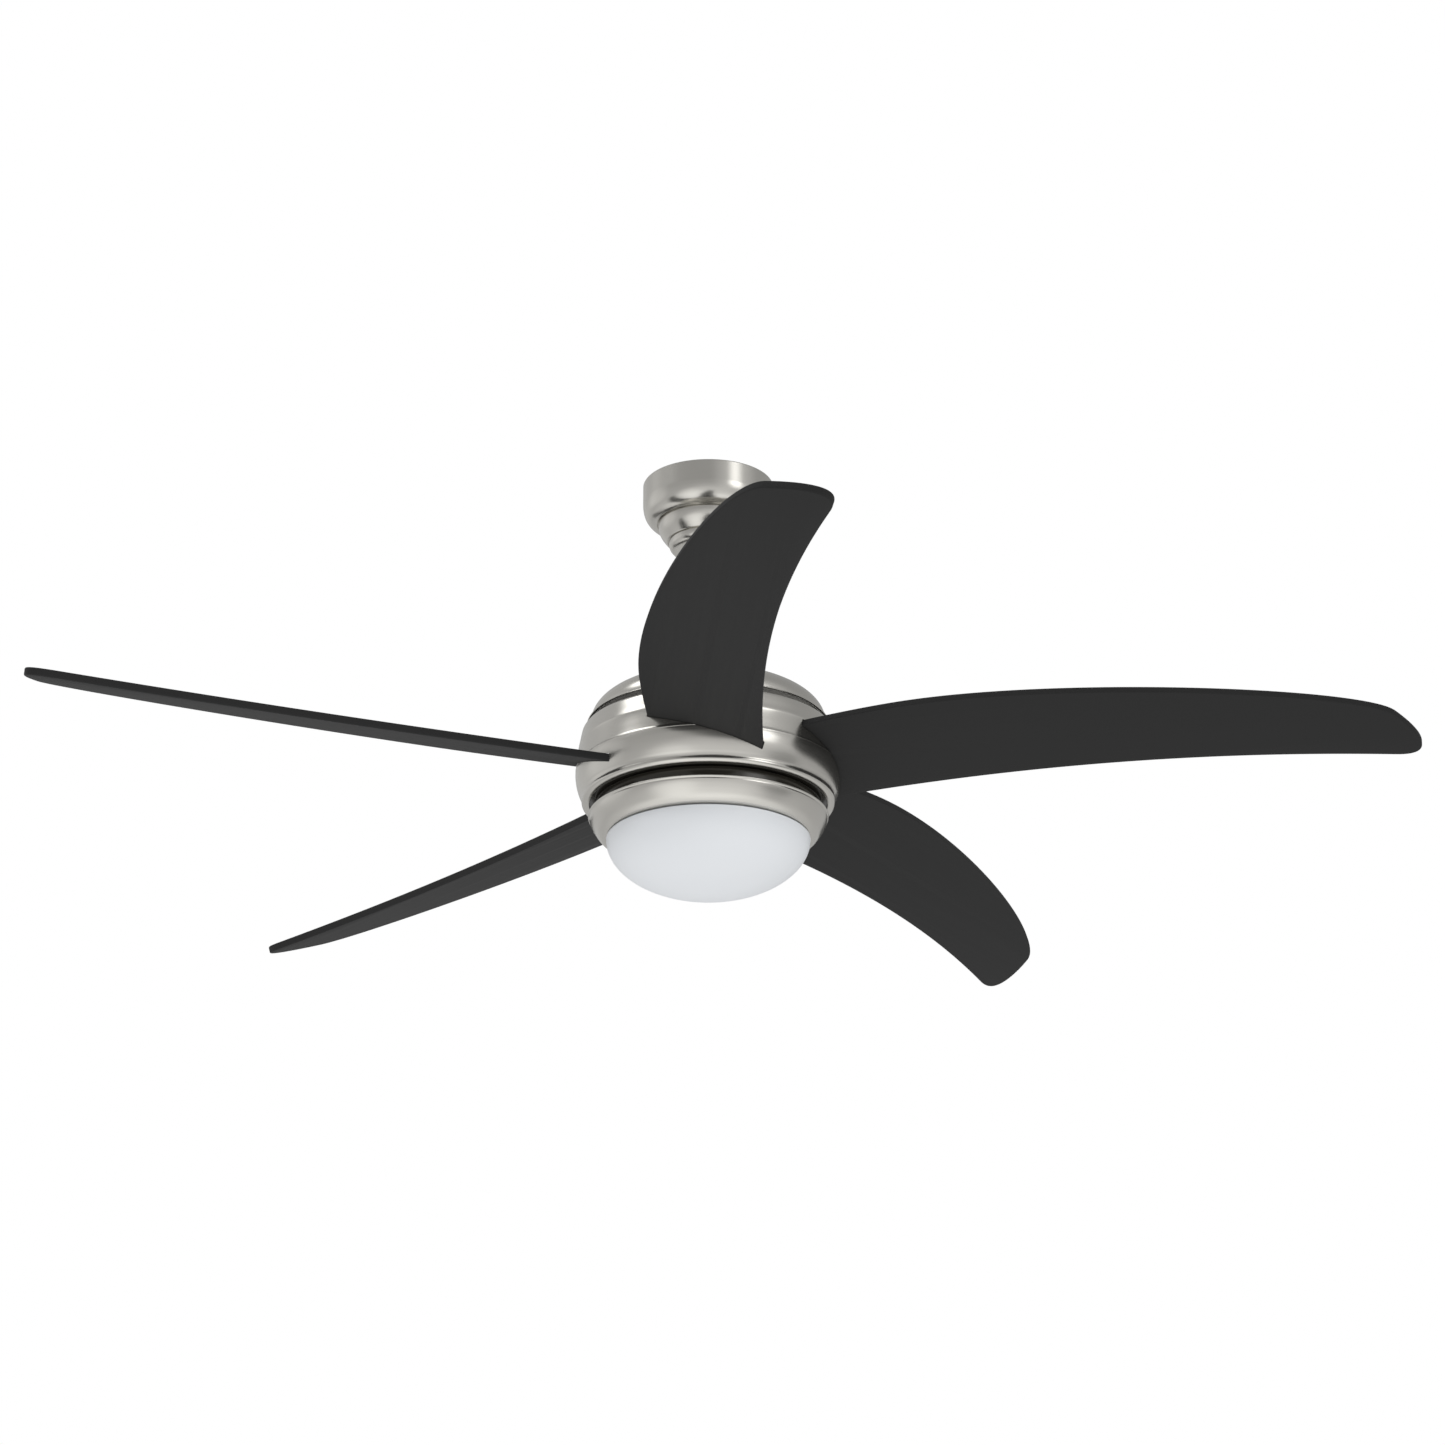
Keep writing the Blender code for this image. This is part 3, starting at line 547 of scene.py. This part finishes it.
def canopy_cover():
    """Two smaller steps below the canopy: each is a short wall that rolls under to a fine rim."""
    roll = smooth([(0.0480, -0.0411), (0.0481, -0.0430), (0.0478, -0.0462), (0.0467, -0.0500),
                   (0.0449, -0.0534), (0.0425, -0.0567), (0.0403, -0.0594)], 5)
    rim = smooth([(0.0399, -0.0598), (0.0393, -0.0602), (0.0387, -0.0601), (0.0384, -0.0596)], 4)
    lower = smooth([(0.0379, -0.0597), (0.0379, -0.0618), (0.0375, -0.0645), (0.0362, -0.0670),
                    (0.0338, -0.0688), (0.0308, -0.0697), (0.0280, -0.0699), (0.0267, -0.0699)], 5)
    stand_in(turned("cover", sheet(chain(roll, rim, lower), CANOPY_SHEET)), "canopy_cover", 30)


# ---------------------------------------------------------------- fan head

BLADE_OUTLINE = [
    ((0.0900, -0.0423), (0.0900, -0.0423), (0.0920, -0.0500)),
    ((0.0960, -0.0652), (0.0940, -0.0576), (0.1310, -0.0720)),
    ((0.2026, -0.0817), (0.1700, -0.0788), (0.3549, -0.0952)),
    ((0.6398, -0.0067), (0.6126, -0.0421), (0.6422, -0.0035)),
    ((0.6351, 0.0515), (0.6879, 0.0602), (0.4829, 0.0265)),
    ((0.1134, 0.0436), (0.3159, 0.0181), (0.1056, 0.0436)),
    ((0.0900, 0.0436), (0.0978, 0.0436), (0.0900, 0.0436)),
]
CLAMP_SCREWS = [(0.0975, -0.022), (0.0975, 0.019)]
CLAMP_HOLE = 0.0023
BLADE_EDGE = 0.0012
BLADE_CLEARANCE = 0.0004
BLADE_INSET = 0.0004
HOUSING_SHEET = 0.0015


def blade_solid(name, half_thickness, margin, edge):
    """The blade's outline as a filled 2D curve, extruded, with round edges."""
    curve = bpy.data.curves.new(name, "CURVE")
    curve.dimensions = "2D"
    curve.fill_mode = "BOTH"
    curve.resolution_u = 40
    curve.extrude = half_thickness - edge
    curve.bevel_depth = edge
    curve.bevel_resolution = 3
    curve.offset = margin - edge
    spline = curve.splines.new("BEZIER")
    spline.bezier_points.add(len(BLADE_OUTLINE) - 1)
    spline.use_cyclic_u = True
    for point, (place, before, after) in zip(spline.bezier_points, BLADE_OUTLINE):
        point.handle_left_type = "FREE"
        point.handle_right_type = "FREE"
        point.co = (*place, 0)
        point.handle_left = (*before, 0)
        point.handle_right = (*after, 0)
    source = bpy.data.objects.new(name, curve)
    bpy.context.scene.collection.objects.link(source)
    bpy.context.view_layer.update()
    mesh = bpy.data.meshes.new_from_object(source.evaluated_get(bpy.context.evaluated_depsgraph_get()))
    bpy.data.objects.remove(source, do_unlink=True)
    bm = bmesh.new()
    bm.from_mesh(mesh)
    bmesh.ops.remove_doubles(bm, verts=bm.verts, dist=SAME_POINT)
    return from_bmesh(name, bm)


def on_blade(obj, angle):
    """Put something made in a blade's own plane in place on the fan."""
    obj.location = PLANE
    obj.rotation_euler = (-BLADE_PITCH, 0, angle)
    return obj


def blades():
    blade = blade_solid("blade", BLADE_THICKNESS / 2, -BLADE_INSET, BLADE_EDGE)
    for x, y in CLAMP_SCREWS:
        cut(blade, rod("hole", CLAMP_HOLE, (x, y, -BLADE_THICKNESS), (x, y, BLADE_THICKNESS)))
    for number, angle in enumerate(BLADE_ANGLES, start=1):
        piece = bpy.data.objects.new("blade", blade.data.copy())
        bpy.context.scene.collection.objects.link(piece)
        stand_in(on_blade(piece, angle), f"blade_{number}")
    bpy.data.objects.remove(blade, do_unlink=True)


def housing_shells():
    """Two nickel shells that meet at the fine ridge. The five blades pass through slots in both."""
    rim = smooth([(0.1112, 0.0423), (0.1166, 0.0426), (0.1180, 0.0422), (0.1189, 0.0410)], 5)
    band = smooth([(0.1192, 0.0402), (0.1202, 0.0355), (0.1212, 0.0300), (0.1221, 0.0260)], 4)
    waist = smooth([(0.1223, 0.0246), (0.12225, 0.0232), (0.1224, 0.0205), (0.1227, 0.0170),
                    (0.1231, 0.0130), (0.1235, 0.0090), (0.1239, 0.0054)], 5)
    ridge = [(0.1243, 0.0046), (0.1244, 0.0040)]
    bead = smooth([(0.1245, 0.0037), (0.1248, 0.0035), (0.1249, 0.0030), (0.1248, 0.0025)], 3)
    bulge = smooth([(0.1248, 0.0022), (0.1249, 0.0000), (0.1248, -0.0035), (0.1240, -0.0095),
                    (0.1226, -0.0150), (0.1208, -0.0198), (0.1196, -0.0223), (0.1190, -0.0241)], 6)
    lip = smooth([(0.1188, -0.0253), (0.1189, -0.0266), (0.1187, -0.0280), (0.1175, -0.0295),
                  (0.1150, -0.0305), (0.1122, -0.0306)], 5)
    upper_line = sheet(chain(rim, band, waist, ridge), HOUSING_SHEET, low_end_round=False)
    lower_line = sheet(chain(bead, bulge, lip), HOUSING_SHEET, top_end_round=False)
    upper = turned("upper", upper_line, place=PLANE)
    lower = turned("lower", lower_line, place=PLANE)
    half_slot = BLADE_THICKNESS / 2 + BLADE_CLEARANCE
    for shell in (upper, lower):
        for angle in BLADE_ANGLES:
            cut(shell, on_blade(blade_solid("slot", half_slot, BLADE_CLEARANCE, BLADE_EDGE), angle))
    stand_in(upper, "housing_upper", 28)
    stand_in(lower, "housing_lower", 28)


CAP_SHEET = 0.0012
CAP_RADIUS = 0.1112
CAP_BASE = 0.0512
CAP_TOP = 0.0903
CAP_POWER = 2.3
CAP_START = 66
CAP_STEPS = 40
CAP_SCREW_X = 0.0205
CAP_SCREW_HOLE = 0.0020


def top_cap():
    """The still dome above the housing. Its outline is a superellipse, nearly flat on top."""
    dome = []
    for i in range(CAP_STEPS + 1):
        angle = math.radians(CAP_START * (1 - i / CAP_STEPS))
        out = CAP_RADIUS * math.cos(angle) ** (2 / CAP_POWER)
        dome.append((out, CAP_BASE + (CAP_TOP - CAP_BASE) * math.sin(angle) ** (2 / CAP_POWER)))
    flat = [(0.0166, CAP_TOP), (0.0340, CAP_TOP)]
    line = chain(flat, dome, smooth([(0.1120, 0.0506), (0.1145, 0.0500)], 3))
    body = turned("cap", sheet(line, CAP_SHEET), place=PLANE)
    for x in (-CAP_SCREW_X, CAP_SCREW_X):
        cut(body, upright_hole(x, CAP_SCREW_HOLE, PLANE.z + CAP_TOP))
    stand_in(body, "top_cap", 30)


COUPLING_COVER_SHEET = 0.0010


def coupling_cover():
    """The cup over the coupling, with a rolled collar where it slides on the rod."""
    collar = [(0.0125, 0.1348)]
    shoulder = arc((0.0190, 0.1225), (0.0112, 0.0125), 88, 6, 12)
    skirt = smooth([(0.0303, 0.1200), (0.0310, 0.1100), (0.0320, 0.1000), (0.0329, 0.0913)], 4)
    line = chain(collar, shoulder, skirt)
    stand_in(turned("cup", sheet(line, COUPLING_COVER_SHEET), MIDDLE, PLANE), "coupling_cover", 30)


DRUM_SHEET = 0.0015
SWITCH_SLOT_LOW = (-0.0048, 0.095, -0.0377)
SWITCH_SLOT_HIGH = (0.0048, 0.115, -0.0343)


def switch_drum():
    """The dark drum in the lower gap, with the reversing switch's slot at the back."""
    line = chain([(0.0088, -0.0297), (0.1040, -0.0297)], arc((0.1046, -0.0315), (0.0018, 0.0018), 88, 2, 6),
                 [(0.1064, -0.0454)])
    drum = turned("drum", sheet(line, DRUM_SHEET), place=PLANE)
    slot = head_block("slot", SWITCH_SLOT_LOW, SWITCH_SLOT_HIGH)
    stand_in(cut(drum, slot), "switch_housing", 30)


PAN_SHEET = 0.0012
PAN_TAB_LOW = (0.0939, -0.008, -0.0560)
PAN_TAB_HIGH = (0.1043, 0.008, -0.0550)


def light_pan():
    """The ring below the lower gap: a fine lip, a groove, a bulge that carries the bowl, and its tabs."""
    lip = smooth([(0.1088, -0.0411), (0.1117, -0.0411), (0.1125, -0.0414), (0.1127, -0.0420),
                  (0.1123, -0.0428), (0.1116, -0.0433)], 5)
    bulge = smooth([(0.1115, -0.0435), (0.1113, -0.0450), (0.1100, -0.0483), (0.1073, -0.0530),
                    (0.1037, -0.0580), (0.0997, -0.0611), (0.0951, -0.0627)], 6)
    pan = turned("pan", sheet(chain(lip, bulge), PAN_SHEET), place=PLANE)
    for angle in LUG_ANGLES:
        join(pan, about_axis(head_block("tab", PAN_TAB_LOW, PAN_TAB_HIGH), angle))
    stand_in(pan, "light_pan", 30)


BOWL_WALL = 0.0030
LUG_LOW = (0.0905, -0.007, -0.0541)
LUG_HIGH = (0.0965, 0.007, -0.0524)
LUG_EDGE = 0.0004


def glass_bowl():
    """The opal bowl: half an ellipsoid under a short neck with three bayonet lugs."""
    neck = smooth([(0.0920, -0.0518), (0.0920, -0.0600), (0.0927, -0.0622), (0.0943, -0.0633)], 4)
    bowl = arc((0, -0.0640), (0.0955, 0.0520), 0, -90, 48)
    bowl[-1] = (0, bowl[-1][1])
    body = turned("bowl", sheet(chain(neck, bowl), BOWL_WALL), place=PLANE)
    for angle in LUG_ANGLES:
        join(body, about_axis(head_block("lug", LUG_LOW, LUG_HIGH, LUG_EDGE), angle))
    stand_in(body, "glass_bowl", 35)


# ---------------------------------------------------------------- rings, pins and screws

BORES = {
    "downrod": 0.0087,
    "motor_shaft": 0.0058,
    "bearing_inner_upper": 0.0088,
    "bearing_inner_lower": 0.0088,
    "bearing_outer_upper": 0.0148,
    "bearing_outer_lower": 0.0148,
    "rotor_ring": 0.0615,
    "hub_plate": 0.0200,
    "light_plate": 0.0125,
    "reflector": 0.0060,
}


def plain_rings():
    """The pieces that are simple rings about the axis: their sizes are the CAD nodes' own."""
    for node, bore in BORES.items():
        low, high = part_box(node)
        line = ring_outline(bore, high.x, high.z, low.z)
        stand_in(turned(node, line, MIDDLE), node)


SCREW_HEAD_HEIGHT = 0.0024


def pan_head(node, head_on_top):
    """A pan-head screw with a cross recess. Its head is at the low end, unless it is on top."""
    low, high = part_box(node)
    middle = (low + high) / 2
    head = (high.x - low.x) / 2
    shank = head * 0.46
    length = high.z - low.z
    crown = smooth([(0, 0), (head * 0.55, 0.0003), (head * 0.88, 0.0010), (head, 0.0020)], 4)
    stem = [(head, SCREW_HEAD_HEIGHT), (shank, SCREW_HEAD_HEIGHT), (shank, length - 0.0006),
            (shank * 0.5, length), (0, length)]
    screw = turned(node, chain(crown, stem), SMALL, closed=False)
    wing_length = head * 0.5
    wing_width = head * 0.11
    for turn in (0, math.pi / 2):
        wing = block("wing", (-wing_length, -wing_width, -0.001), (wing_length, wing_width, 0.0011))
        cut(screw, about_axis(wing, turn))
    if head_on_top:
        screw.rotation_euler = (math.pi, 0, 0)
    screw.location = (middle.x, middle.y, high.z if head_on_top else low.z)
    stand_in(screw, node)


def hanger_ball():
    """Moulded ball, flat on top, with a bore for the rod and a cross hole for its pin."""
    radius, top, bottom, bore = 0.0220, 0.0150, -0.0178, 0.0108
    edge_angles = [math.degrees(math.asin(height / radius)) for height in (top, bottom)]
    line = [(bore, top)] + arc((0, 0), (radius, radius), *edge_angles, 40) + [(bore, bottom)]
    ball = turned("ball", line, MIDDLE, BALL_CENTRE)
    hole = rod("hole", 0.0033, BALL_CENTRE - Vector((0, 0.03, 0)), BALL_CENTRE + Vector((0, 0.03, 0)))
    stand_in(cut(ball, hole), "hanger_ball")


def seat_liner():
    """Thin rubber cup between the ball and the bracket's seat."""
    inner, outer = 0.0223, 0.0243
    outside = arc((0, 0), (outer, outer), 2, -40, 30)
    inside = arc((0, 0), (inner, inner), -40, 2, 30)
    stand_in(turned("liner", chain(outside, inside), MIDDLE, BALL_CENTRE), "seat_liner")


def ball_pin():
    """The pin along Y that holds the rod in the ball."""
    low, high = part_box("ball_pin")
    radius = (high.x - low.x) / 2
    start = (0, low.y, BALL_CENTRE.z)
    end = (0, high.y, BALL_CENTRE.z)
    stand_in(rod("pin", radius, start, end, edge=0.0004), "ball_pin")


def build():
    canopy()
    canopy_cover()
    housing_shells()
    blades()
    top_cap()
    coupling_cover()
    switch_drum()
    light_pan()
    glass_bowl()
    plain_rings()
    for number in (1, 2):
        pan_head(f"canopy_screw_{number}", False)
        pan_head(f"top_cap_screw_{number}", True)
    hanger_ball()
    seat_liner()
    ball_pin()


build()


# ---------------------------------------------------------------- CAD nodes that stay

CAD_EDGE = 0.0003
CAD_EDGE_ANGLE = math.radians(40)


def finish_cad_nodes():
    """Every CAD node that is still shown keeps its shape, with broken edges and its own material."""
    for node, obj in NODES.items():
        if obj.hide_render:
            continue
        obj.data.materials.clear()
        obj.data.materials.append(MATERIALS[SLOT_OF[node]])
        weld = obj.modifiers.new("weld", "WELD")
        weld.merge_threshold = SAME_POINT
        bevel = obj.modifiers.new("edges", "BEVEL")
        bevel.width = CAD_EDGE
        bevel.segments = 2
        bevel.limit_method = "ANGLE"
        bevel.angle_limit = CAD_EDGE_ANGLE


finish_cad_nodes()


# ---------------------------------------------------------------- studio and camera

def area_light(name, place, size, power):
    """A soft light that faces the fan head. It doesn't show in reflections."""
    light = bpy.data.lights.new(name, "AREA")
    light.shape = "RECTANGLE"
    light.size, light.size_y = size
    light.energy = power
    obj = bpy.data.objects.new(name, light)
    obj.location = place
    obj.rotation_euler = (PLANE - Vector(place)).to_track_quat("-Z", "Y").to_euler()
    obj.visible_glossy = False
    bpy.context.scene.collection.objects.link(obj)


# What the fan reflects, as light from each height: sines of the angle above the horizon and grey levels
ROOM_BANDS = [(-1.0, 1.06), (-0.88, 1.00), (-0.60, 0.66), (-0.30, 0.55), (0.0, 0.52), (0.30, 0.46),
              (0.42, 0.42), (0.70, 0.40), (1.0, 0.40)]

# Soft patches on top of that: azimuth and elevation in degrees (azimuth 0 is the camera's side), the angular
# radii where the patch is full and where it ends, and the light that it adds or takes
ROOM_PATCHES = [
    ((-80, 47), (8, 16), 2.6),
    ((-135, 22), (10, 45), 0.14),
    ((-100, 5), (10, 30), 0.22),
    ((48, 16), (5, 15), 1.9),
    ((50, 15), (15, 45), 0.20),
    ((0, -44), (25, 55), 0.24),
    ((-37, -31), (8, 28), 0.28),
    ((70, -20), (6, 20), -0.25),
]


def toward(azimuth, elevation):
    """The direction to a place in the room, with azimuth 0 towards -Y and 90 towards +X."""
    a = math.radians(azimuth)
    e = math.radians(elevation)
    return Vector((math.sin(a) * math.cos(e), -math.cos(a) * math.cos(e), math.sin(e)))


def room_light(tree, way):
    """The room's grey for a direction: bands by height, doubled because a ramp ends at 1, and patches."""
    height = add_node(tree, "ShaderNodeSeparateXYZ", {0: way}).outputs["Z"]
    place = add_node(tree, "ShaderNodeMapRange", {"Value": height, "From Min": -1}).outputs[0]
    ramp = add_node(tree, "ShaderNodeValToRGB", {0: place})
    ramp.color_ramp.interpolation = "EASE"
    while len(ramp.color_ramp.elements) < len(ROOM_BANDS):
        ramp.color_ramp.elements.new(0.5)
    for element, (sine, grey) in zip(ramp.color_ramp.elements, ROOM_BANDS):
        element.position = (sine + 1) / 2
        element.color = (grey / 2, grey / 2, grey / 2, 1)
    halved = ramp.outputs["Color"]
    level = add_node(tree, "ShaderNodeMath", {0: halved, 1: 2}, operation="MULTIPLY").outputs[0]
    for angles, (full, nothing), amount in ROOM_PATCHES:
        aim = {0: way, 1: toward(*angles)}
        dot = add_node(tree, "ShaderNodeVectorMath", aim, operation="DOT_PRODUCT").outputs["Value"]
        edges = {"Value": dot, "To Max": amount, "From Min": math.cos(math.radians(nothing)),
                 "From Max": math.cos(math.radians(full))}
        patch = add_node(tree, "ShaderNodeMapRange", edges, interpolation_type="SMOOTHSTEP").outputs[0]
        level = add_node(tree, "ShaderNodeMath", {0: level, 1: patch}, operation="ADD").outputs[0]
    return level


def world():
    """White for the camera, and for everything else a grey room with a few soft lit patches."""
    sky = bpy.data.worlds.new("studio")
    sky.use_nodes = True
    tree = sky.node_tree
    tree.nodes.clear()
    way = add_node(tree, "ShaderNodeTexCoord").outputs["Generated"]
    room = add_node(tree, "ShaderNodeBackground", {"Color": room_light(tree, way)}).outputs[0]
    seen = add_node(tree, "ShaderNodeBackground", {"Color": (1, 1, 1, 1)}).outputs[0]
    from_camera = add_node(tree, "ShaderNodeLightPath").outputs["Is Camera Ray"]
    mix = add_node(tree, "ShaderNodeMixShader", {0: from_camera, 1: room, 2: seen}).outputs[0]
    add_node(tree, "ShaderNodeOutputWorld", {"Surface": mix})
    bpy.context.scene.world = sky


def floor():
    """A pale floor far below. Only the camera sees it, and it glows a little so that it stays pale."""
    bm = bmesh.new()
    bmesh.ops.create_grid(bm, x_segments=1, y_segments=1, size=30)
    plane = from_bmesh("floor", bm)
    plane.location = (0, 0, -8)
    paint = Surface("floor_white", (0.9, 0.9, 0.9), 0.8)
    paint.set("Emission Color", (1, 1, 1, 1))
    paint.set("Emission Strength", 0.42)
    plane.data.materials.append(paint.material)
    plane.visible_diffuse = False
    plane.visible_glossy = False
    plane.visible_transmission = False
    plane.visible_shadow = False


def camera():
    data = bpy.data.cameras.new("camera")
    data.lens = 98.69
    data.sensor_width = 36
    data.shift_x = 0.0098
    data.clip_end = 200
    obj = bpy.data.objects.new("camera", data)
    obj.location = (0, -3.4759, -1.6397)
    obj.rotation_euler = (math.radians(111.841), 0, 0)
    bpy.context.scene.collection.objects.link(obj)
    bpy.context.scene.camera = obj


world()
floor()
camera()
area_light("top_left", (-2.2, -1.0, 2.6), (1.4, 1.4), 30)
area_light("front_right", (2.6, -2.6, 1.0), (1.0, 1.6), 15)
bpy.context.scene.view_settings.view_transform = "Standard"
